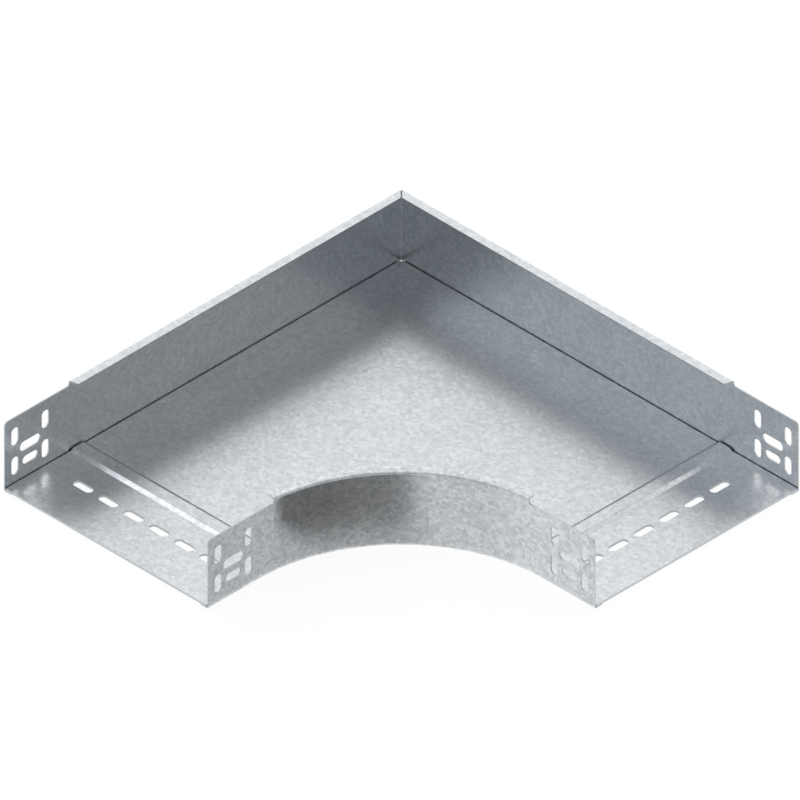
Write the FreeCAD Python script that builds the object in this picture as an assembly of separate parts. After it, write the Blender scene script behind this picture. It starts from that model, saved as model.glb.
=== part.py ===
import FreeCAD, Part
import math
import os

# Horizontal 90 degree bend for a cable tray, folded and welded from galvanised sheet steel.
# Sizes in millimetres. The bend stands on its underside with +Z up, and the origin is at
# the middle of its box, at the bottom. The square outer corner points to -X +Y. One open end
# faces -Y and the other faces +X, and the two legs are mirror images about the diagonal.

# Tray: each leg is as long as the width, the inner arc and one straight end together
tray_width = 202.0
inner_radius = 141.0
inner_straight = 50.0
leg_length = tray_width + inner_radius + inner_straight

# Sheet of the rails and their folds, and the thicker sheet of the floor plates
sheet = 1.0
floor_sheet = 1.8
bend_inside = 0.5
bend_outside = bend_inside + sheet

# Side rails: heights from the underside, flange widths from the outside of the wall
rail_height = 62.5
end_wall_height = 58.3
end_corner_radius = 4.0
step_fillet = 1.5
foot_width = 7.5
outer_flange_width = 8.0
outer_flange_setback = 64.0
outer_flange_slant = 2.0
inner_flange_width = 9.0
inner_flange_setback = 63.0

# Outer corner: the flanges are mitred and stop each side of a narrow slit
mitre_slit = 1.1

# Floor: plates lie on the feet of the rails. The end plates lap over the base plate, and the free
# edge of each lap is coined to a thin slope
plate_clearance = 0.3
plate_corner_cut = 2.3
end_plate_flat = 63.2
joggle_run = 3.4
lap_flat = 9.4
lap_slope_run = 3.4
lap_edge = 0.2
base_end_gap = 1.0

# Slots of each open end: upright and lying ones in the walls, one row across the floor
slot_width = 7.0
wall_slot_length = 15.0
long_slot_width = 8.0
long_slot_length = 20.0
upright_slot_setback = 10.0
upright_slot_pitch = 30.0
slot_row_height = 17.0
slot_row_pitch = 12.5
floor_slot_setback = 40.0
floor_slot_length = 17.5
floor_slot_pitch = 25.0
floor_slot_count = 6

# Places worked out from the sizes above
half = leg_length / 2
outer_face = -half
inner_face = outer_face + tray_width
arc_start = inner_straight - half
arc_centre = FreeCAD.Vector(inner_face + inner_radius, arc_start, 0)
edge_gap = bend_outside + plate_clearance
floor_bottom = sheet
floor_top = floor_bottom + floor_sheet
lap_top = floor_top + floor_sheet
margin = 5.0


def rounded_face(points, radii, place):
    """Face of a polygon whose corners are rounded; place turns two numbers into a point."""
    count = len(points)
    starts = []
    mids = []
    ends = []
    for i in range(count):
        corner = FreeCAD.Vector(points[i][0], points[i][1], 0)
        before = FreeCAD.Vector(points[i - 1][0], points[i - 1][1], 0) - corner
        after = FreeCAD.Vector(points[(i + 1) % count][0], points[(i + 1) % count][1], 0) - corner
        before.normalize()
        after.normalize()
        half_angle = before.getAngle(after) / 2
        reach = radii[i] / math.tan(half_angle)
        bisector = before + after
        to_arc = radii[i] / math.sin(half_angle) - radii[i]
        starts.append(corner + before * reach)
        ends.append(corner + after * reach)
        if radii[i] > 0:
            bisector.normalize()
            mids.append(corner + bisector * to_arc)
        else:
            mids.append(corner)
    edges = []
    for i in range(count):
        if radii[i] > 0:
            arc = [place(p.x, p.y) for p in (starts[i], mids[i], ends[i])]
            edges.append(Part.Arc(arc[0], arc[1], arc[2]).toShape())
        line_start = place(ends[i].x, ends[i].y)
        line_end = place(starts[(i + 1) % count].x, starts[(i + 1) % count].y)
        if line_start.distanceToPoint(line_end) > 1e-6:
            edges.append(Part.makeLine(line_start, line_end))
    return Part.Face(Part.Wire(edges))


def plan_prism(points, radii, bottom, top):
    """Upright prism over a plan outline."""
    face = rounded_face(points, radii, lambda x, y: FreeCAD.Vector(x, y, bottom))
    return face.extrude(FreeCAD.Vector(0, 0, top - bottom))


def mirrored(shape):
    """The same piece on the other leg."""
    return shape.mirror(FreeCAD.Vector(0, 0, 0), FreeCAD.Vector(1, 1, 0))


def slot_tool(centre, along, through, length, width):
    """Cutter for a slot with round ends, long way along, cut through the sheet both ways."""
    across = through.cross(along)
    turn = FreeCAD.Rotation(along, across, through, "ZXY")
    outline = [(-length / 2, -width / 2), (length / 2, -width / 2)]
    outline += [(length / 2, width / 2), (-length / 2, width / 2)]
    ends = [width / 2] * 4
    depth = margin * 2

    def place(x, y):
        return centre + turn.multVec(FreeCAD.Vector(x, y, -depth / 2))

    return rounded_face(outline, ends, place).extrude(through * depth)


def wall_slots(face_x):
    """Cutters for the six slots in the wall of the left leg whose face is at face_x."""
    upright = FreeCAD.Vector(0, 0, 1)
    lying = FreeCAD.Vector(0, 1, 0)
    through = FreeCAD.Vector(1, 0, 0)
    cutters = []
    for column in (0, 1):
        y = upright_slot_setback + upright_slot_pitch * column - half
        for row in (0, 2):
            centre = FreeCAD.Vector(face_x, y, slot_row_height + slot_row_pitch * row)
            cutters.append(slot_tool(centre, upright, through, wall_slot_length, slot_width))
    y = upright_slot_setback + upright_slot_pitch / 2 - half
    low = FreeCAD.Vector(face_x, y, slot_row_height)
    middle = FreeCAD.Vector(face_x, y, slot_row_height + slot_row_pitch)
    cutters.append(slot_tool(low, lying, through, wall_slot_length, slot_width))
    cutters.append(slot_tool(middle, lying, through, long_slot_length, long_slot_width))
    return cutters


def foot_section(face_x, inward, y):
    """Foot flange with its fold, below the wall whose outside is at face_x."""
    def place(d, z):
        return FreeCAD.Vector(face_x + inward * d, y, z)

    points = [(foot_width, sheet), (foot_width, 0), (0, 0), (0, bend_outside)]
    points += [(sheet, bend_outside), (sheet, sheet)]
    return rounded_face(points, [0, 0, bend_outside, 0, 0, bend_inside], place)


def top_section(face_x, inward, y, width):
    """Top flange with its fold, above the wall whose outside is at face_x."""
    def place(d, z):
        return FreeCAD.Vector(face_x + inward * d, y, rail_height - z)

    points = [(width, sheet), (width, 0), (0, 0), (0, bend_outside)]
    points += [(sheet, bend_outside), (sheet, sheet)]
    return rounded_face(points, [0, 0, bend_outside, 0, 0, bend_inside], place)


def full_section(face_x, inward, y, width):
    """Whole rail section: foot, wall and top flange."""
    def place(d, z):
        return FreeCAD.Vector(face_x + inward * d, y, z)

    points = [(foot_width, sheet), (foot_width, 0), (0, 0), (0, rail_height)]
    points += [(width, rail_height), (width, rail_height - sheet)]
    points += [(sheet, rail_height - sheet), (sheet, sheet)]
    radii = [0, 0, bend_outside, bend_outside, 0, 0, bend_inside, bend_inside]
    return rounded_face(points, radii, place)


def outer_half_wall():
    """Wall of the left outer rail: low with a rounded corner at its end, then full height."""
    start = -half
    step = outer_flange_setback - half
    end = half - bend_outside
    top = rail_height - bend_outside
    points = [(start, bend_outside), (start, end_wall_height), (step, end_wall_height)]
    points += [(step, top), (end, top), (end, bend_outside)]
    radii = [0, end_corner_radius, step_fillet, 0, 0, 0]
    face = rounded_face(points, radii, lambda y, z: FreeCAD.Vector(outer_face, y, z))
    return face.extrude(FreeCAD.Vector(sheet, 0, 0))


def outer_strip(width, start, slant):
    """Plan of a flange of the left outer rail, from its end cut to the mitre at the corner."""
    mitre = mitre_slit / math.sqrt(2)
    points = [(outer_face, start), (outer_face + width, start + slant)]
    points += [(outer_face + width, half - width - mitre), (outer_face, half - mitre)]
    return plan_prism(points, [0, 0, 0, 0], -margin, rail_height + margin)


def corner_plan():
    """Plan of the whole bend's square, with the fold radius at the outer corner."""
    points = [(-half, -half), (-half, half), (half, half), (half, -half)]
    return plan_prism(points, [0, bend_outside, 0, 0], -margin, rail_height + margin)


def corner_fold():
    """Upright quarter bend that joins the two outer walls."""
    height = rail_height - 2 * bend_outside
    centre = FreeCAD.Vector(outer_face + bend_outside, half - bend_outside, bend_outside)
    axis = FreeCAD.Vector(0, 0, 1)
    outer = Part.makeCylinder(bend_outside, height, centre, axis)
    inner = Part.makeCylinder(bend_inside, height, centre, axis)
    corner = FreeCAD.Vector(outer_face, half - bend_outside, bend_outside)
    quarter = Part.makeBox(bend_outside, bend_outside, height, corner)
    return outer.cut(inner).common(quarter)


def outer_rail():
    """One strip with an inward foot and top flange, folded square at the outer corner."""
    run = FreeCAD.Vector(0, leg_length, 0)
    top = top_section(outer_face, 1, -half, outer_flange_width).extrude(run)
    top = top.common(outer_strip(outer_flange_width, outer_flange_setback - half, outer_flange_slant))
    foot = foot_section(outer_face, 1, -half).extrude(run)
    foot = foot.common(outer_strip(foot_width, -half, 0))
    plan = corner_plan()
    wall = outer_half_wall().cut(wall_slots(outer_face))
    leg = wall.fuse([top.common(plan), foot.common(plan)])
    return leg.fuse([mirrored(leg), corner_fold()]).removeSplitter()


def inner_end():
    """Straight, slotted end of the inner rail on the left leg."""
    points = [(-half, bend_outside), (-half, end_wall_height)]
    points += [(arc_start, end_wall_height), (arc_start, bend_outside)]
    radii = [0, end_corner_radius, 0, 0]
    face = rounded_face(points, radii, lambda y, z: FreeCAD.Vector(inner_face, y, z))
    wall = face.extrude(FreeCAD.Vector(-sheet, 0, 0)).cut(wall_slots(inner_face))
    foot = foot_section(inner_face, -1, -half).extrude(FreeCAD.Vector(0, inner_straight, 0))
    return wall.fuse(foot)


def inner_flange_notch():
    """Cutter that lowers the left end of the inner rail and leaves a fillet at the step."""
    step = inner_flange_setback - half
    points = [(-half - margin, end_wall_height), (step, end_wall_height)]
    points += [(step, rail_height + margin), (-half - margin, rail_height + margin)]
    start_x = inner_face - inner_flange_width - margin
    face = rounded_face(points, [0, step_fillet, 0, 0], lambda y, z: FreeCAD.Vector(start_x, y, z))
    return face.extrude(FreeCAD.Vector(inner_flange_width + margin * 3, 0, 0))


def inner_rail():
    """Curved rail: one strip with foot and top flange round the arc, and two straight ends."""
    section = full_section(inner_face, -1, arc_start, inner_flange_width)
    arc = section.revolve(arc_centre, FreeCAD.Vector(0, 0, 1), -90)
    notch = inner_flange_notch()
    arc = arc.cut([notch, mirrored(notch)])
    end = inner_end()
    return arc.fuse([end, mirrored(end)]).removeSplitter()


def floor_region():
    """Prism over the floor between the rails, clear of their walls and folds."""
    left = outer_face + edge_gap
    back = half - edge_gap
    inner_left = inner_face - edge_gap
    inner_back = -inner_left
    radius = inner_radius + edge_gap
    middle = arc_centre + FreeCAD.Vector(-radius, radius, 0) * math.sqrt(0.5)
    corners = [(left, -half), (left, back - plate_corner_cut), (left + plate_corner_cut, back)]
    corners += [(half, back), (half, inner_back), (half - inner_straight, inner_back)]
    chain = [FreeCAD.Vector(x, y, 0) for x, y in corners]
    arc_end = FreeCAD.Vector(inner_left, arc_start, 0)
    last = FreeCAD.Vector(inner_left, -half, 0)
    edges = [Part.makeLine(chain[i], chain[i + 1]) for i in range(len(chain) - 1)]
    edges.append(Part.Arc(chain[-1], middle, arc_end).toShape())
    edges.append(Part.makeLine(arc_end, last))
    edges.append(Part.makeLine(last, chain[0]))
    return Part.Face(Part.Wire(edges)).extrude(FreeCAD.Vector(0, 0, rail_height))


def base_plate():
    """Main floor plate, which ends under the laps of the end plates."""
    setback = end_plate_flat + joggle_run + base_end_gap
    corner = FreeCAD.Vector(-half, setback - half, floor_bottom)
    size = leg_length - setback
    return Part.makeBox(size, size, floor_sheet, corner).common(floor_region())


def joggled_sheet():
    """End plate before its edges are trimmed: flat, a short ramp up, then the lap with its sloped edge."""
    start = end_plate_flat - half
    end = start + joggle_run
    crest = end + lap_flat
    tip = crest + lap_slope_run
    slope = math.atan2(floor_sheet, joggle_run)
    below = floor_sheet * math.tan(slope / 2)
    points = [(-half, floor_bottom), (-half, floor_top), (start, floor_top), (end, lap_top)]
    points += [(crest, lap_top), (tip, floor_top + lap_edge), (tip, floor_top)]
    points += [(end + below, floor_top), (start + below, floor_bottom)]
    outside = bend_inside + floor_sheet
    radii = [0, 0, bend_inside, outside, bend_inside, 0, 0, bend_inside, outside]
    face = rounded_face(points, radii, lambda y, z: FreeCAD.Vector(-half, y, z))
    return face.extrude(FreeCAD.Vector(leg_length, 0, 0))


def end_plate():
    """Slotted floor plate of the left open end."""
    plate = joggled_sheet().common(floor_region())
    along = FreeCAD.Vector(1, 0, 0)
    through = FreeCAD.Vector(0, 0, 1)
    row_middle = (outer_face + inner_face) / 2
    cutters = []
    for i in range(floor_slot_count):
        x = row_middle + floor_slot_pitch * (i - (floor_slot_count - 1) / 2)
        centre = FreeCAD.Vector(x, floor_slot_setback - half, floor_top)
        cutters.append(slot_tool(centre, along, through, floor_slot_length, slot_width))
    return plate.cut(cutters)


def write(node, shape):
    """One file for one piece."""
    solid = shape.Solids[0]
    print(node, "solids", len(shape.Solids), "valid", shape.isValid(), "volume", round(solid.Volume, 1))
    solid.exportStep("parts/" + node + ".step")


os.makedirs("parts", exist_ok=True)
left_end_plate = end_plate()
write("outer_rail", outer_rail())
write("inner_rail", inner_rail())
write("base_plate", base_plate())
write("end_plate_left", left_end_plate)
write("end_plate_right", mirrored(left_end_plate))
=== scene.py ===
import math

import bmesh
import bpy
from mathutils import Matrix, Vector


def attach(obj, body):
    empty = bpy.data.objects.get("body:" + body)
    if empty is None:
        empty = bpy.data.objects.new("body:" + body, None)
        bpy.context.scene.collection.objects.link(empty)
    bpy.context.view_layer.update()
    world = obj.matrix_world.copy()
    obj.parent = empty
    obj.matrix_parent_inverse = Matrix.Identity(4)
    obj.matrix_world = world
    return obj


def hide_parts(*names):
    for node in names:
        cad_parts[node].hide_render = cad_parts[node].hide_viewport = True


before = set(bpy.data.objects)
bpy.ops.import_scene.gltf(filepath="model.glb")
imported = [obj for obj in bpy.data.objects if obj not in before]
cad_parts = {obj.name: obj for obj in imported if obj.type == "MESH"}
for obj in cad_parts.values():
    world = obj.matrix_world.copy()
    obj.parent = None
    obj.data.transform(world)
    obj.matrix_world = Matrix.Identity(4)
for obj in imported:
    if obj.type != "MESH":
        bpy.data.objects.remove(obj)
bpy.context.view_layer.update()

print("frame loaded:", sorted(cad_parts))

mm = 0.001
body = "root"


def linear(hexColour):
    # sRGB hex to the linear values that shaders want
    channels = [int(hexColour[i:i + 2], 16) / 255 for i in (0, 2, 4)]
    return [c / 12.92 if c <= 0.04045 else ((c + 0.055) / 1.055) ** 2.4 for c in channels] + [1.0]


def addNode(tree, kind, settings=None, **links):
    # one node: settings are its properties or, by socket name or number, its inputs' values,
    # and links are the sockets that feed its inputs
    node = tree.nodes.new(kind)
    for key, value in (settings or {}).items():
        if isinstance(key, str) and hasattr(node, key):
            setattr(node, key, value)
        else:
            node.inputs[key].default_value = value
    for key, source in links.items():
        socket = int(key[1:]) if key[0] == "_" else key.replace("_", " ")
        tree.links.new(source, node.inputs[socket])
    return node


# Camera: parallel projection as in the photograph, turned 45 degrees about the upright
view = {
    "azimuth": math.radians(45.0),
    "elevation": math.radians(35.337),
    "target": (-78.31 * mm, 76.91 * mm, 0.0),
    "distance": 2.0,
    "farthest": 50.0,
    "widthSeen": 559.2 * mm,
}


def makeCamera():
    data = bpy.data.cameras.new("viewCamera")
    data.type = "ORTHO"
    data.ortho_scale = view["widthSeen"]
    data.clip_end = view["farthest"]
    camera = bpy.data.objects.new("viewCamera", data)
    bpy.context.scene.collection.objects.link(camera)
    level = math.cos(view["elevation"])
    back = Vector((
        math.sin(view["azimuth"]) * level,
        -math.cos(view["azimuth"]) * level,
        math.sin(view["elevation"]),
    ))
    camera.location = Vector(view["target"]) + back * view["distance"]
    camera.rotation_euler = (-back).to_track_quat("-Z", "Y").to_euler()
    bpy.context.scene.camera = camera


makeCamera()
print("camera placed")


# Galvanised sheet: strip dipped in zinc and skin-passed. The eye gets a bluish-grey satin metal,
# a blurred mirror, mottled by fine spangle about 2 mm across. Its cut edges are duller and darker,
# and the rims of the floor's slots are darker still by a painted shade.
steel = {
    "light": "EFF2F4",
    "dark": "BAC0C5",
    "sheared": "C8CCCF",  # cut edges
    "punched": "B8BDC0",  # painted shade on the rims of the floor's slots, in place of the shadowed ground they would mirror
    "roughness": 0.29,
    "roughnessSpread": 0.04,  # darker grains are rougher by this, lighter ones smoother
    "shearedRoughness": 0.50,
    "spangle": 2.4 * mm,
    "spangleBlur": 0.6,  # how softly one grain runs into the next
    "grit": 0.9 * mm,
    "gritShare": 0.45,
    "cloud": 35.0 * mm,
    "cloudShare": 0.20,
    "bump": 0.014 * mm,
}
# The curved rail is from a strip with a bolder spangle
boldSpangle = {"light": "FAFCFE", "dark": "A6ACB1"}


def galvanisedSteel(name, light, dark):
    material = bpy.data.materials.new(name)
    material.use_nodes = True
    tree = material.node_tree
    tree.nodes.clear()
    place = addNode(tree, "ShaderNodeTexCoord").outputs["Object"]
    # the grains' borders are bent by a noise of their own size
    warp = addNode(tree, "ShaderNodeTexNoise", {"Scale": 1 / steel["spangle"], "Detail": 2.0},
                   Vector=place)
    shift = addNode(tree, "ShaderNodeVectorMath", {"operation": "SUBTRACT", 1: (0.5, 0.5, 0.5)},
                    _0=warp.outputs["Color"])
    bent = addNode(tree, "ShaderNodeVectorMath",
                   {"operation": "MULTIPLY_ADD", 1: (steel["spangle"],) * 3},
                   _0=shift.outputs["Vector"], _2=place)
    grains = addNode(tree, "ShaderNodeTexVoronoi",
                     {"Scale": 1 / steel["spangle"], "feature": "SMOOTH_F1",
                      "Smoothness": steel["spangleBlur"]}, Vector=bent.outputs["Vector"])
    grey = addNode(tree, "ShaderNodeSeparateColor", None, _0=grains.outputs["Color"])
    grit = addNode(tree, "ShaderNodeTexNoise", {"Scale": 1 / steel["grit"], "Detail": 2.0},
                   Vector=place)
    cloud = addNode(tree, "ShaderNodeTexNoise", {"Scale": 1 / steel["cloud"], "Detail": 3.0},
                    Vector=place)
    mottle = addNode(tree, "ShaderNodeMix", {0: steel["gritShare"]},
                     _2=grey.outputs[0], _3=grit.outputs[0])
    shade = addNode(tree, "ShaderNodeMix", {0: steel["cloudShare"]},
                    _2=mottle.outputs[0], _3=cloud.outputs[0])
    colour = addNode(tree, "ShaderNodeMix",
                     {"data_type": "RGBA", 6: linear(dark), 7: linear(light)},
                     _0=shade.outputs[0])
    # the attribute read here is 1 on cut edges and 2 on the rims of the floor's slots, which get a
    # painted shade
    edge = addNode(tree, "ShaderNodeAttribute", {"attribute_name": "cutEdgeAndRimShade"}).outputs["Fac"]
    cut = addNode(tree, "ShaderNodeMix", {"data_type": "RGBA", 7: linear(steel["sheared"])},
                  _0=edge, _6=colour.outputs[2])
    # painted shade: the floor slots' rims are mixed towards a darker colour
    rimShadeMask = addNode(tree, "ShaderNodeMath", {"operation": "SUBTRACT", 1: 1.0}, _0=edge)
    rimShaded = addNode(tree, "ShaderNodeMix", {"data_type": "RGBA", 7: linear(steel["punched"])},
                   _0=rimShadeMask.outputs[0], _6=cut.outputs[2])
    rough = addNode(tree, "ShaderNodeMapRange",
                    {"To Min": steel["roughness"] + steel["roughnessSpread"],
                     "To Max": steel["roughness"] - steel["roughnessSpread"]},
                    Value=shade.outputs[0])
    duller = addNode(tree, "ShaderNodeMix", {3: steel["shearedRoughness"]},
                     _0=edge, _2=rough.outputs[0])
    relief = addNode(tree, "ShaderNodeBump", {"Strength": 1.0, "Distance": steel["bump"]},
                     Height=mottle.outputs[0])
    surface = addNode(tree, "ShaderNodeBsdfPrincipled", {"Metallic": 1.0},
                      Base_Color=rimShaded.outputs[2], Roughness=duller.outputs[0],
                      Normal=relief.outputs[0])
    addNode(tree, "ShaderNodeOutputMaterial", None, Surface=surface.outputs[0])
    return material


sheetSteel = galvanisedSteel("galvanisedSheetSteel", steel["light"], steel["dark"])
boldSteel = galvanisedSteel("galvanisedStripSteel", boldSpangle["light"], boldSpangle["dark"])
print("steel mixed")

# Sizes that the five pieces share. The legs are mirror images about the upright diagonal plane.
bend = {
    "half": 196.5 * mm,  # half of a leg's length, from the middle of the box
    "width": 202.0 * mm,  # over the walls of a leg
    "innerRadius": 141.0 * mm,
    "railHeight": 62.5 * mm,
    "sheet": 1.0 * mm,
    "foldInside": 0.5 * mm,
    "foldOutside": 1.5 * mm,
    "footWidth": 7.5 * mm,
    "floorSheet": 1.8 * mm,
    "spare": 6.0 * mm,  # how far cutters reach past what they cut
    "overrun": 1.0 * mm,  # how far rails are swept past their ends before the press trims them
}
# What every piece gets once it has its shape
finish = {
    "mergeWithin": 0.01 * mm,
    "flatWithin": math.radians(0.05),  # faces that meet flatter than this become one
    "edgeRadius": 0.18 * mm,  # rounding that shearing and zinc leave on every edge
    "edgeSegments": 2,
    "edgeAngle": math.radians(35),  # faces that meet sharper than this share an edge
    "creaseAngle": math.radians(60),  # and sharper than this no shading runs across it
    "flatWeight": 80,  # how far the large flats rule the shading at their rims
    "cutWidth": 1.15,  # a cut edge is no wider than this many sheets
    "rimTolerance": 0.05,  # share by which a floor slot's rim may differ from its worked out length
}
outerFace = -bend["half"]
innerFace = outerFace + bend["width"]


def roundedLoop(points, radii, steps=8):
    # outline whose corners are rounded by arcs
    loop = []
    for i, radius in enumerate(radii):
        corner = Vector(points[i])
        if radius == 0:
            loop.append(corner)
            continue
        before = (Vector(points[i - 1]) - corner).normalized()
        after = (Vector(points[(i + 1) % len(points)]) - corner).normalized()
        halfAngle = before.angle(after) / 2
        centre = corner + (before + after).normalized() * (radius / math.sin(halfAngle))
        first = corner + before * (radius / math.tan(halfAngle)) - centre
        turn = math.copysign(math.pi - 2 * halfAngle, after.cross(before))
        for k in range(steps + 1):
            c, s = math.cos(turn * k / steps), math.sin(turn * k / steps)
            loop.append(centre + Vector((first.x * c - first.y * s, first.x * s + first.y * c)))
    return loop


def outlineObject(name, loop):
    # a closed line of edges, which a sweep takes as its section
    mesh = bpy.data.meshes.new(name)
    count = len(loop)
    edges = [(i, (i + 1) % count) for i in range(count)]
    mesh.from_pydata([(p[0], p[1], 0.0) for p in loop], edges, [])
    made = bpy.data.objects.new(name, mesh)
    bpy.context.scene.collection.objects.link(made)
    return made


def newTree(name, inputs):
    tree = bpy.data.node_groups.new(name, "GeometryNodeTree")
    tree.interface.new_socket("Geometry", in_out="INPUT", socket_type="NodeSocketGeometry")
    for label, kind in inputs:
        tree.interface.new_socket(label, in_out="INPUT", socket_type="NodeSocket" + kind)
    tree.interface.new_socket("Geometry", in_out="OUTPUT", socket_type="NodeSocketGeometry")
    return tree, addNode(tree, "NodeGroupInput").outputs


def finishTree(tree, geometry, material):
    real = addNode(tree, "GeometryNodeRealizeInstances", None, Geometry=geometry)
    painted = addNode(tree, "GeometryNodeSetMaterial", None, Geometry=real.outputs[0],
                      Material=material)
    addNode(tree, "NodeGroupOutput", None, _0=painted.outputs[0])


def sweepTree():
    # sweeps the object's own outline along Start, Corner, End, with an arc at the corner.
    # The outline's x is right of the travel and its y is down; on an upright path they are X and Y.
    tree, given = newTree("sweptSheet", [
        ("Start", "Vector"), ("Corner", "Vector"), ("End", "Vector"),
        ("Radius", "Float"), ("Arc Steps", "Int"), ("Steel", "Material"),
    ])
    section = addNode(tree, "GeometryNodeMeshToCurve", None, Mesh=given["Geometry"])
    line = addNode(tree, "GeometryNodeCurvePrimitiveLine", None, Start=given["Start"],
                   End=given["End"])
    three = addNode(tree, "GeometryNodeResampleCurve", {"Count": 3}, Curve=line.outputs[0])
    index = addNode(tree, "GeometryNodeInputIndex")
    isMiddle = addNode(tree, "FunctionNodeCompare",
                       {"data_type": "INT", "operation": "EQUAL", 3: 1}, _2=index.outputs[0])
    route = addNode(tree, "GeometryNodeSetPosition", None, Geometry=three.outputs[0],
                    Selection=isMiddle.outputs[0], Position=given["Corner"])
    rounded = addNode(tree, "GeometryNodeFilletCurve", {"mode": "POLY"}, Curve=route.outputs[0],
                      Count=given["Arc Steps"], Radius=given["Radius"])
    upright = addNode(tree, "GeometryNodeSetCurveNormal", {"mode": "Z_UP"},
                      Curve=rounded.outputs[0])
    swept = addNode(tree, "GeometryNodeCurveToMesh", {"Fill Caps": True},
                    Curve=upright.outputs[0], Profile_Curve=section.outputs[0])
    finishTree(tree, swept.outputs[0], given["Steel"])
    return tree


def prismTree():
    # the same for a straight prism: plates, sections and cutters
    tree, given = newTree("straightSheet", [
        ("Start", "Vector"), ("End", "Vector"), ("Steel", "Material"),
    ])
    section = addNode(tree, "GeometryNodeMeshToCurve", None, Mesh=given["Geometry"])
    line = addNode(tree, "GeometryNodeCurvePrimitiveLine", None, Start=given["Start"],
                   End=given["End"])
    upright = addNode(tree, "GeometryNodeSetCurveNormal", {"mode": "Z_UP"}, Curve=line.outputs[0])
    swept = addNode(tree, "GeometryNodeCurveToMesh", {"Fill Caps": True},
                    Curve=upright.outputs[0], Profile_Curve=section.outputs[0])
    finishTree(tree, swept.outputs[0], given["Steel"])
    return tree


def slotRowTree():
    # punches a row of slots with round ends through the sheet that it is put on
    tree, given = newTree("slotRow", [
        ("First", "Vector"), ("Step", "Vector"), ("Count", "Int"), ("Length", "Float"),
        ("Width", "Float"), ("Depth", "Vector"), ("Turn", "Vector"), ("Round Steps", "Int"),
        ("Steel", "Material"),
    ])
    outline = addNode(tree, "GeometryNodeCurvePrimitiveQuadrilateral", None,
                      Width=given["Length"], Height=given["Width"])
    nearlyHalf = 0.4999  # a full half would leave no edge between the two arcs of an end
    radius = addNode(tree, "ShaderNodeMath", {"operation": "MULTIPLY", 1: nearlyHalf},
                     _0=given["Width"])
    ends = addNode(tree, "GeometryNodeFilletCurve", {"mode": "POLY"}, Curve=outline.outputs[0],
                   Count=given["Round Steps"], Radius=radius.outputs[0])
    below = addNode(tree, "ShaderNodeVectorMath", {"operation": "SCALE", "Scale": -1.0},
                    _0=given["Depth"])
    line = addNode(tree, "GeometryNodeCurvePrimitiveLine", None, Start=below.outputs[0],
                   End=given["Depth"])
    upright = addNode(tree, "GeometryNodeSetCurveNormal", {"mode": "Z_UP"}, Curve=line.outputs[0])
    punch = addNode(tree, "GeometryNodeCurveToMesh", {"Fill Caps": True},
                    Curve=upright.outputs[0], Profile_Curve=ends.outputs[0])
    row = addNode(tree, "GeometryNodeMeshLine", None, Count=given["Count"],
                  Start_Location=given["First"], Offset=given["Step"])
    turned = addNode(tree, "FunctionNodeEulerToRotation", None, Euler=given["Turn"])
    punches = addNode(tree, "GeometryNodeInstanceOnPoints", None, Points=row.outputs[0],
                      Instance=punch.outputs[0], Rotation=turned.outputs[0])
    real = addNode(tree, "GeometryNodeRealizeInstances", None, Geometry=punches.outputs[0])
    punched = addNode(tree, "GeometryNodeMeshBoolean", {"solver": "EXACT"}, _0=given["Geometry"],
                      _1=real.outputs[0])
    whole = addNode(tree, "GeometryNodeTriangulate", None, Mesh=punched.outputs[0])
    finishTree(tree, whole.outputs[0], given["Steel"])
    return tree


sweptSheet = sweepTree()
straightSheet = prismTree()
slotRow = slotRowTree()


def dress(made, tree, **values):
    # puts a tree on an object, its inputs set by identifier before anything is evaluated
    modifier = made.modifiers.new(tree.name, "NODES")
    modifier.node_group = tree
    for item in tree.interface.items_tree:
        if item.in_out == "INPUT" and item.name.replace(" ", "") in values:
            modifier[item.identifier] = values[item.name.replace(" ", "")]
        elif item.in_out == "INPUT" and item.name == "Steel":
            modifier[item.identifier] = sheetSteel
    return made


def settle(made):
    # turns what the modifiers make into the object's own plain mesh
    evaluated = made.evaluated_get(bpy.context.evaluated_depsgraph_get())
    mesh = bpy.data.meshes.new_from_object(evaluated)
    made.modifiers.clear()
    old = made.data
    made.data = mesh
    mesh.name = made.name
    bpy.data.meshes.remove(old)
    return made


def outwards(made):
    # merges doubles, joins what lies flat and turns all faces outwards
    shape = bmesh.new()
    shape.from_mesh(made.data)
    bmesh.ops.remove_doubles(shape, verts=shape.verts, dist=finish["mergeWithin"])
    bmesh.ops.dissolve_limit(shape, angle_limit=finish["flatWithin"], verts=shape.verts,
                             edges=shape.edges)
    bmesh.ops.recalc_face_normals(shape, faces=shape.faces)
    shape.to_mesh(made.data)
    shape.free()
    return made


def prism(name, loop, start, end):
    made = dress(outlineObject(name, loop), straightSheet, Start=start, End=end)
    return outwards(settle(made))


def combine(made, other, operation):
    # one boolean, after which the other shape is gone
    modifier = made.modifiers.new(operation, "BOOLEAN")
    modifier.operation = operation
    modifier.solver = "EXACT"
    modifier.object = other
    settle(made)
    bpy.data.meshes.remove(other.data)
    return made


def mirroredCopy(made, name):
    # the same shape on the other leg
    shape = bmesh.new()
    shape.from_mesh(made.data)
    for vertex in shape.verts:
        vertex.co = Vector((-vertex.co.y, -vertex.co.x, vertex.co.z))
    bmesh.ops.reverse_faces(shape, faces=shape.faces)
    mesh = bpy.data.meshes.new(name)
    shape.to_mesh(mesh)
    shape.free()
    mesh.materials.append(sheetSteel)
    other = bpy.data.objects.new(name, mesh)
    bpy.context.scene.collection.objects.link(other)
    return other


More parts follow.
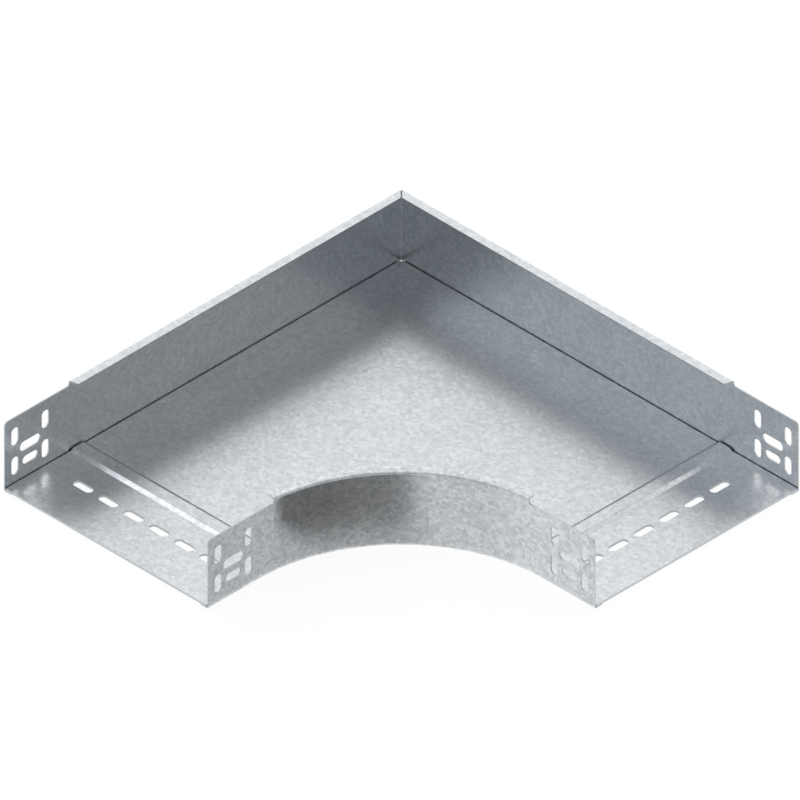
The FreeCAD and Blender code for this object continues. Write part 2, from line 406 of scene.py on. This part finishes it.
def markCutEdgesAndRimShade(made, widest):
    # faces that run on into each other in a band no wider than the sheet are where it was cut.
    # They are marked 1, and 2 round the floor's slots, which get a painted shade for the unlit
    # ground below that they would mirror.
    floorRim = 4 * (slots["floorLength"] - slots["width"]) + 2 * math.pi * slots["width"]
    shape = bmesh.new()
    shape.from_mesh(made.data)
    layer = shape.faces.layers.float.new("cutEdgeAndRimShade")
    left = set(shape.faces)
    while left:
        patch = [left.pop()]
        for face in patch:
            for edge in face.edges:
                for near in edge.link_faces:
                    turn = face.normal.angle(near.normal, 0.0)
                    if near in left and turn < finish["edgeAngle"]:
                        left.remove(near)
                        patch.append(near)
        inPatch = set(patch)
        area = sum(face.calc_area() for face in patch)
        rim = sum(edge.calc_length() for face in patch for edge in face.edges
                  if any(near not in inPatch for near in edge.link_faces))
        mark = 0.0
        if 2 * area < widest * rim:
            mark = 2.0 if abs(rim / floorRim - 1) < finish["rimTolerance"] else 1.0
        for face in patch:
            face[layer] = mark
    shape.to_mesh(made.data)
    shape.free()


def finishPiece(made, node, thickness, surface=sheetSteel):
    # soft edges, even shading on the flats, then on to its body in place of the plain solid
    markCutEdgesAndRimShade(made, thickness * finish["cutWidth"])
    for polygon in made.data.polygons:
        polygon.use_smooth = True
    rounding = made.modifiers.new("softEdges", "BEVEL")
    rounding.width = finish["edgeRadius"]
    rounding.segments = finish["edgeSegments"]
    rounding.limit_method = "ANGLE"
    rounding.angle_limit = finish["edgeAngle"]
    rounding.use_clamp_overlap = True
    settle(made)
    made.data.set_sharp_from_angle(angle=finish["creaseAngle"])
    even = made.modifiers.new("evenNormals", "WEIGHTED_NORMAL")
    even.weight = finish["flatWeight"]
    even.keep_sharp = True
    settle(made)
    for i in range(len(made.data.materials)):
        made.data.materials[i] = surface
    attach(made, body)
    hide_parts(node)
    print("made", made.name, "faces", len(made.data.polygons))


# Rails: one closed section is swept along each, and the ends are trimmed as a press tool would
rails = {
    "outerFlange": 8.0 * mm,
    "outerStep": 64.0 * mm,  # from the open end to the full height
    "outerSlant": 2.0 * mm,
    "innerFlange": 9.0 * mm,
    "innerStep": 64.6 * mm,
    "innerSlant": 1.0 * mm,
    "innerCorner": 4.0 * mm,  # radius of the flange's free corner
    "endHeight": 58.3 * mm,
    "endRadius": 4.0 * mm,
    "stepRadius": 1.5 * mm,
    "mitreSlit": 1.1 * mm,
    "postOverlap": 3.0 * mm,
    "cutBelow": 0.05 * mm,  # how far below the top fold a flange's own cutters start
    "arcSteps": 72,
}


def railSection(flange, side):
    # outline of foot, wall and top flange; side is 1 where the inside is right of the travel
    top, sheet, foot = bend["railHeight"], bend["sheet"], bend["footWidth"]
    tight, wide = bend["foldInside"], bend["foldOutside"]
    points = [(foot, sheet), (foot, 0), (0, 0), (0, top), (flange, top), (flange, top - sheet)]
    points += [(sheet, top - sheet), (sheet, sheet)]
    loop = roundedLoop(points, [0, 0, wide, wide, 0, 0, tight, tight])
    return [(side * p.x, -p.y) for p in loop]


def endCutter(step, first, last):
    # what the press takes off an open end: all past the end face and all above the low wall
    spare, end = bend["spare"], -bend["half"]
    high = bend["railHeight"] + spare
    points = [(end - spare, -spare), (end, -spare), (end, rails["endHeight"])]
    points += [(end + step, rails["endHeight"]), (end + step, high), (end - spare, high)]
    loop = roundedLoop(points, [0, 0, rails["endRadius"], rails["stepRadius"], 0, 0])
    return prism("endCutter", [(-p.x, -p.y) for p in loop], (first, 0, 0), (last, 0, 0))


def trimEnds(made, step, first, last, both):
    cutter = endCutter(step, first, last)
    if both:
        combine(made, mirroredCopy(cutter, "endCutterRight"), "DIFFERENCE")
    combine(made, cutter, "DIFFERENCE")


def cutFlange(made, name, plan, mirrorName=None):
    # trims the top flange only, on the left leg and, where a second name is given, on the right
    low = bend["railHeight"] - bend["foldOutside"] - rails["cutBelow"]
    cutter = prism(name, plan, (0, 0, low), (0, 0, low + bend["spare"]))
    if mirrorName:
        combine(made, mirroredCopy(cutter, mirrorName), "DIFFERENCE")
    combine(made, cutter, "DIFFERENCE")


def outerLeg():
    half, spare, flange = bend["half"], bend["spare"], rails["outerFlange"]
    end = half + bend["overrun"]
    leg = outlineObject("outerRail", railSection(flange, 1))
    dress(leg, straightSheet, Start=(outerFace, -end, 0), End=(outerFace, end, 0))
    outwards(settle(leg))
    trimEnds(leg, rails["outerStep"], outerFace - spare, outerFace + flange + spare, False)
    start, slope = rails["outerStep"] - half, rails["outerSlant"] / flange
    reach = flange + spare
    plan = [(outerFace, start), (outerFace + reach, start + slope * reach)]
    plan += [(outerFace + reach, start - spare), (outerFace, start - spare)]
    cutFlange(leg, "slantCutter", plan)
    # the flanges are mitred at the outer corner and leave a slit on the diagonal
    back = half - rails["mitreSlit"] / math.sqrt(2)
    plan = [(outerFace - spare, back + spare), (outerFace + 2 * spare, back - 2 * spare)]
    plan += [(outerFace + 2 * spare, half + spare), (outerFace - spare, half + 2 * spare)]
    high = bend["railHeight"] + spare
    combine(leg, prism("mitreCutter", plan, (0, 0, -spare), (0, 0, high)), "DIFFERENCE")
    return leg


def cornerPost():
    # the upright fold that joins the two outer walls
    half, sheet = bend["half"], bend["sheet"]
    reach = bend["foldOutside"] + rails["postOverlap"]
    points = [(outerFace, half - reach), (outerFace, half), (outerFace + reach, half)]
    points += [(outerFace + reach, half - sheet), (outerFace + sheet, half - sheet)]
    points += [(outerFace + sheet, half - reach)]
    loop = roundedLoop(points, [0, bend["foldOutside"], 0, 0, bend["foldInside"], 0])
    low = bend["foldOutside"]
    return prism("cornerPost", loop, (0, 0, low), (0, 0, bend["railHeight"] - low))


# Slots of each open end: upright and lying ones in the walls, one row across the floor
slots = {
    "width": 7.0 * mm,
    "length": 15.0 * mm,
    "longWidth": 8.0 * mm,
    "longLength": 20.0 * mm,
    "floorLength": 17.5 * mm,
    "uprightSetback": 10.0 * mm,
    "uprightPitch": 30.0 * mm,
    "rowHeight": 17.0 * mm,
    "rowPitch": 12.5 * mm,
    "floorSetback": 40.0 * mm,
    "floorPitch": 25.0 * mm,
    "floorCount": 6,
    "roundSteps": 10,
    "depth": 4.0 * mm,  # how far a punch reaches each side of the sheet's face
}


def wallSlots(made, faceX):
    # rows on the left leg and, mirrored, on the right leg
    quarter = math.pi / 2
    near = slots["uprightSetback"] - bend["half"]
    middle = near + slots["uprightPitch"] / 2
    low, pitch = slots["rowHeight"], slots["rowPitch"]
    short, slim = slots["length"], slots["width"]
    long, wide = slots["longLength"], slots["longWidth"]
    uprightRows = [(near, low, 2, short, slim), (near, low + 2 * pitch, 2, short, slim)]
    lyingRows = [(middle, low, 1, short, slim), (middle, low + pitch, 1, long, wide)]
    for turns, rows in ((((0, -quarter, 0), (0, -quarter, quarter)), uprightRows),
                        (((quarter, 0, quarter), (quarter, 0, 0)), lyingRows)):
        for y, z, count, length, width in rows:
            for mirrored in (False, True):
                first = (-y, -faceX, z) if mirrored else (faceX, y, z)
                step = (-slots["uprightPitch"], 0, 0) if mirrored else (0, slots["uprightPitch"], 0)
                dress(made, slotRow, First=first, Step=step, Count=count, Length=length,
                      Width=width, Depth=(0, 0, slots["depth"]), Turn=turns[mirrored],
                      RoundSteps=slots["roundSteps"])
    return settle(made)


def makeOuterRail():
    rail = outerLeg()
    combine(rail, mirroredCopy(rail, "rightLeg"), "UNION")
    combine(rail, cornerPost(), "UNION")
    outwards(wallSlots(rail, outerFace))
    finishPiece(rail, "outer_rail", bend["sheet"])


def flangeEnd():
    # plan of what is trimmed off the left end of the curved flange: it leaves a slight slant and
    # a round corner
    flange, spare = rails["innerFlange"], bend["spare"]
    centre, reach = innerFace + bend["innerRadius"], bend["innerRadius"] + flange
    end = rails["innerStep"] - bend["half"]
    tip = end + rails["innerSlant"]
    across = math.sqrt(reach ** 2 - (centre + tip) ** 2)
    corner = Vector((centre - across, tip))
    further = corner + Vector((centre + tip, across)) * (spare / reach)
    plan = [(innerFace, end - spare), (innerFace, end), corner, further]
    plan += [(further.x - spare, further.y), (further.x - spare, end - spare)]
    return roundedLoop(plan, [0, 0, rails["innerCorner"], 0, 0, 0])


def makeInnerRail():
    end, spare, flange = bend["half"] + bend["overrun"], bend["spare"], rails["innerFlange"]
    rail = outlineObject("innerRail", railSection(flange, -1))
    dress(rail, sweptSheet, Start=(innerFace, -end, 0), Corner=(innerFace, -innerFace, 0),
          End=(end, -innerFace, 0), Radius=bend["innerRadius"], ArcSteps=rails["arcSteps"])
    outwards(settle(rail))
    trimEnds(rail, rails["innerStep"], innerFace - flange - spare, innerFace + spare, True)
    cutFlange(rail, "flangeCutter", flangeEnd(), "flangeCutterRight")
    outwards(wallSlots(rail, innerFace))
    finishPiece(rail, "inner_rail", bend["sheet"], boldSteel)


makeOuterRail()
makeInnerRail()

# Floor plates: they lie on the feet of the rails, and the end plates step up over the base plate
floorPlates = {
    "edgeGap": 1.8 * mm,  # from a wall's outside, past its fold
    "cornerCut": 2.3 * mm,
    "flat": 63.2 * mm,
    "ramp": 3.4 * mm,
    "foldSteps": 4,
    "lap": 9.4 * mm,
    "lapSlope": 3.4 * mm,
    "lapEdge": 0.2 * mm,  # thickness left at the coined free edge
    "lapRelief": 0.45 * mm,  # cut off the lap's side along the outer wall
    "underlap": 1.0 * mm,  # from the ramp's head to the base plate's edge below the lap
    "arcSteps": 72,
}


def floorLoop():
    # plan of the whole floor between the rails
    half, gap, cut = bend["half"], floorPlates["edgeGap"], floorPlates["cornerCut"]
    left, back, inner = outerFace + gap, half - gap, innerFace - gap
    points = [(left, -half), (left, back - cut), (left + cut, back), (half, back), (half, -inner)]
    points += [(inner, -inner), (inner, -half)]
    radii = [0, 0, 0, 0, 0, bend["innerRadius"] + gap, 0]
    return roundedLoop(points, radii, floorPlates["arcSteps"])


def makeBasePlate():
    half, spare = bend["half"], bend["spare"]
    start = floorPlates["flat"] + floorPlates["ramp"] + floorPlates["underlap"] - half
    low = bend["sheet"]
    plate = prism("basePlate", floorLoop(), (0, 0, low), (0, 0, low + bend["floorSheet"]))
    reach = half + spare
    square = [(-reach, start), (-start, start), (-start, reach), (-reach, reach)]
    combine(plate, prism("baseLimits", square, (0, 0, -spare), (0, 0, spare)), "INTERSECT")
    finishPiece(outwards(plate), "base_plate", bend["floorSheet"])


def makeEndPlates():
    half, spare, thick = bend["half"], bend["spare"], bend["floorSheet"]
    low, mid, high = bend["sheet"], bend["sheet"] + thick, bend["sheet"] + 2 * thick
    start = floorPlates["flat"] - half
    end = start + floorPlates["ramp"]
    crest = end + floorPlates["lap"]
    tip = crest + floorPlates["lapSlope"]
    under = thick * math.tan(math.atan2(thick, floorPlates["ramp"]) / 2)
    points = [(-half - spare, low), (-half - spare, mid), (start, mid), (end, high)]
    points += [(crest, high), (tip, mid + floorPlates["lapEdge"]), (tip, mid)]
    points += [(end + under, mid), (start + under, low)]
    tight = bend["foldInside"]
    radii = [0, 0, tight, tight + thick, tight, 0, 0, tight, tight + thick]
    loop = roundedLoop(points, radii, floorPlates["foldSteps"])
    first, last = (outerFace - spare, 0, 0), (innerFace + spare, 0, 0)
    plate = prism("endPlateLeft", [(-p.x, -p.y) for p in loop], first, last)
    bottom, top = (0, 0, -spare), (0, 0, 2 * spare)
    combine(plate, prism("floorLimits", floorLoop(), bottom, top), "INTERSECT")
    side = outerFace + floorPlates["edgeGap"]
    relief = [(side - spare, start), (side + floorPlates["lapRelief"], start)]
    relief += [(side + floorPlates["lapRelief"], tip + spare), (side - spare, tip + spare)]
    combine(plate, prism("lapRelief", relief, bottom, top), "DIFFERENCE")
    pitch, count = slots["floorPitch"], slots["floorCount"]
    firstSlot = (outerFace + innerFace) / 2 - pitch * (count - 1) / 2
    dress(plate, slotRow, First=(firstSlot, slots["floorSetback"] - half, mid), Step=(pitch, 0, 0),
          Count=count, Length=slots["floorLength"], Width=slots["width"],
          Depth=(0, 0, slots["depth"]), Turn=(0, 0, 0), RoundSteps=slots["roundSteps"])
    outwards(settle(plate))
    other = mirroredCopy(plate, "endPlateRight")
    finishPiece(plate, "end_plate_left", thick)
    finishPiece(other, "end_plate_right", thick)


makeBasePlate()
makeEndPlates()

# Floor: plain white paper. Where the camera or a mirror sees it, its own glow and the studio's
# light on it add up to white, and a shadow takes some of the second away.
ground = {
    "radius": 12.0,
    "sides": 96,
    "colour": "FFFFFF",
    "glow": 0.90,
    "catch": 0.15,  # share of the studio's light that is seen, and so the depth of a shadow
}


def makeFloor():
    mesh = bpy.data.meshes.new("floor")
    shape = bmesh.new()
    bmesh.ops.create_circle(shape, cap_ends=True, radius=ground["radius"], segments=ground["sides"])
    shape.to_mesh(mesh)
    shape.free()
    floor = bpy.data.objects.new("floor", mesh)
    bpy.context.scene.collection.objects.link(floor)
    material = bpy.data.materials.new("whitePaperFloor")
    material.use_nodes = True
    tree = material.node_tree
    tree.nodes.clear()
    path = addNode(tree, "ShaderNodeLightPath")
    seen = addNode(tree, "ShaderNodeMath", {"operation": "MAXIMUM"},
                   _0=path.outputs["Is Camera Ray"], _1=path.outputs["Is Glossy Ray"])
    through = addNode(tree, "ShaderNodeMath", {"operation": "MAXIMUM"},
                      _0=seen.outputs[0], _1=path.outputs["Is Transmission Ray"])
    paper = addNode(tree, "ShaderNodeBsdfDiffuse", {"Color": linear(ground["colour"])})
    catcher = addNode(tree, "ShaderNodeBsdfDiffuse", {"Color": [ground["catch"]] * 3 + [1.0]})
    glow = addNode(tree, "ShaderNodeEmission", {"Strength": ground["glow"]})
    lit = addNode(tree, "ShaderNodeAddShader", None, _0=catcher.outputs[0], _1=glow.outputs[0])
    mixed = addNode(tree, "ShaderNodeMixShader", None, _0=through.outputs[0], _1=paper.outputs[0],
                    _2=lit.outputs[0])
    addNode(tree, "ShaderNodeOutputMaterial", None, Surface=mixed.outputs[0])
    mesh.materials.append(material)


makeFloor()
print("floor laid")

# Studio card that stands round the inside of the bend, a little off the curved rail. Only mirror
# images show it: its glow paints a dark reflection onto the curved rail. The glow is grey, darkest
# over the first half of the curve, and paler towards its foot.
card = {
    "gap": 2.5 * mm,
    "height": 60.0 * mm,
    "rows": 12,
    "arcSteps": 45,
    # degrees round the curve from the left end, between which the start's tone turns dark
    "startTone": 0.58,
    "startAngles": (6.5, 9.0),
    "spread": 0.45 / mm,  # degrees per length below spreadHeight by which that turn gets wider
    "spreadHeight": 42.0 * mm,
    # degrees round the curve, and the tone there
    "tones": [(24, 0.17), (28, 0.19), (34, 0.22), (38, 0.235), (43, 0.26), (47, 0.39),
              (50, 0.57), (55, 0.73), (70, 0.74), (77, 0.81), (85, 0.87)],
    # height in mm, and the share by which a dark tone is lifted there towards footTone
    "footShare": [(1, 0.70), (4, 0.62), (8, 0.55), (14, 0.37), (20, 0.20), (26, 0.08), (36, 0.0)],
    "footTone": 0.6,
}


def valueAt(pairs, at):
    # between the listed pairs in a straight line, and level past the first and the last
    if at <= pairs[0][0]:
        return pairs[0][1]
    for (x0, y0), (x1, y1) in zip(pairs, pairs[1:]):
        if at <= x1:
            return y0 + (y1 - y0) * (at - x0) / (x1 - x0)
    return pairs[-1][1]


def makeCard():
    half, radius = bend["half"], bend["innerRadius"] - card["gap"]
    start = innerFace + bend["innerRadius"]
    plan = [(start - radius, -half, 0.0)]
    for k in range(card["arcSteps"] + 1):
        turn = math.pi / 2 * k / card["arcSteps"]
        x, y = start - radius * math.cos(turn), -start + radius * math.sin(turn)
        plan.append((x, y, math.degrees(turn)))
    plan.append((half, -start + radius, 90.0))
    points, faces, tones = [], [], []
    for row in range(card["rows"] + 1):
        high = card["height"] * row / card["rows"]
        first, last = card["startAngles"]
        last += card["spread"] * max(0.0, card["spreadHeight"] - high)
        turnsDark = [(first, card["startTone"]), (last, card["tones"][0][1])]
        share = valueAt(card["footShare"], high / mm)
        for x, y, angle in plan:
            points.append((x, y, high))
            tone = valueAt(turnsDark + card["tones"], angle)
            tones.append(tone + (max(tone, card["footTone"]) - tone) * share)
    across = len(plan)
    for row in range(card["rows"]):
        for k in range(across - 1):
            i = row * across + k
            faces.append((i, i + 1, i + 1 + across, i + across))
    mesh = bpy.data.meshes.new("toneCard")
    mesh.from_pydata(points, [], faces)
    layer = mesh.attributes.new("tone", "FLOAT", "POINT")
    layer.data.foreach_set("value", tones)
    made = bpy.data.objects.new("toneCard", mesh)
    bpy.context.scene.collection.objects.link(made)
    material = bpy.data.materials.new("paintedReflectionCard")
    material.use_nodes = True
    tree = material.node_tree
    tree.nodes.clear()
    tone = addNode(tree, "ShaderNodeAttribute", {"attribute_name": "tone"})
    # the card's glow, whose tone is the painted reflection that the curved rail mirrors
    paper = addNode(tree, "ShaderNodeEmission", None, Strength=tone.outputs["Fac"])
    addNode(tree, "ShaderNodeOutputMaterial", None, Surface=paper.outputs[0])
    mesh.materials.append(material)
    made.visible_camera = False
    made.visible_shadow = False
    made.visible_diffuse = False


makeCard()
print("card stands")

# Studio light: a plain soft dome with brighter areas
studio = {
    "base": 0.350,
    "lobes": [
        # direction, cosine where it starts, cosine where it is full, strength, colour
        ((-1.0, 1.0, 0.22), 0.76, 0.985, 1.17, "FFFFFF"),  # low behind the outer corner
        ((-1.0, -1.0, 0.9), 0.40, 0.90, 0.20, "ECF4FF"),  # wide and a little blue, on the left
        ((0.0, 0.0, 1.0), 0.50, 0.95, 0.34, "FFFFFF"),  # overhead
        ((-0.58, -0.15, 0.80), 0.93, 0.988, 0.80, "FFFFFF"),  # for the left end plate's ramp
        ((0.15, 0.58, 0.80), 0.93, 0.988, 0.42, "FFFFFF"),  # for the right end plate's ramp
    ],
}


def makeStudio():
    world = bpy.data.worlds.new("softStudio")
    bpy.context.scene.world = world
    world.use_nodes = True
    tree = world.node_tree
    tree.nodes.clear()
    direction = addNode(tree, "ShaderNodeTexCoord").outputs["Generated"]
    total = addNode(tree, "ShaderNodeCombineXYZ", {i: studio["base"] for i in range(3)}).outputs[0]
    for axis, start, full, strength, colour in studio["lobes"]:
        along = addNode(tree, "ShaderNodeVectorMath", {"operation": "DOT_PRODUCT",
                        1: Vector(axis).normalized()}, _0=direction)
        lobe = addNode(tree, "ShaderNodeMapRange",
                       {"interpolation_type": "SMOOTHSTEP", "From Min": start, "From Max": full,
                        "To Max": strength}, Value=along.outputs["Value"])
        added = addNode(tree, "ShaderNodeVectorMath",
                        {"operation": "MULTIPLY_ADD", 1: linear(colour)[:3]},
                        _0=lobe.outputs[0], _2=total)
        total = added.outputs[0]
    glow = addNode(tree, "ShaderNodeBackground", None, Color=total)
    addNode(tree, "ShaderNodeOutputWorld", None, Surface=glow.outputs[0])


makeStudio()

bpy.context.scene.view_settings.view_transform = "Standard"
print("light set")
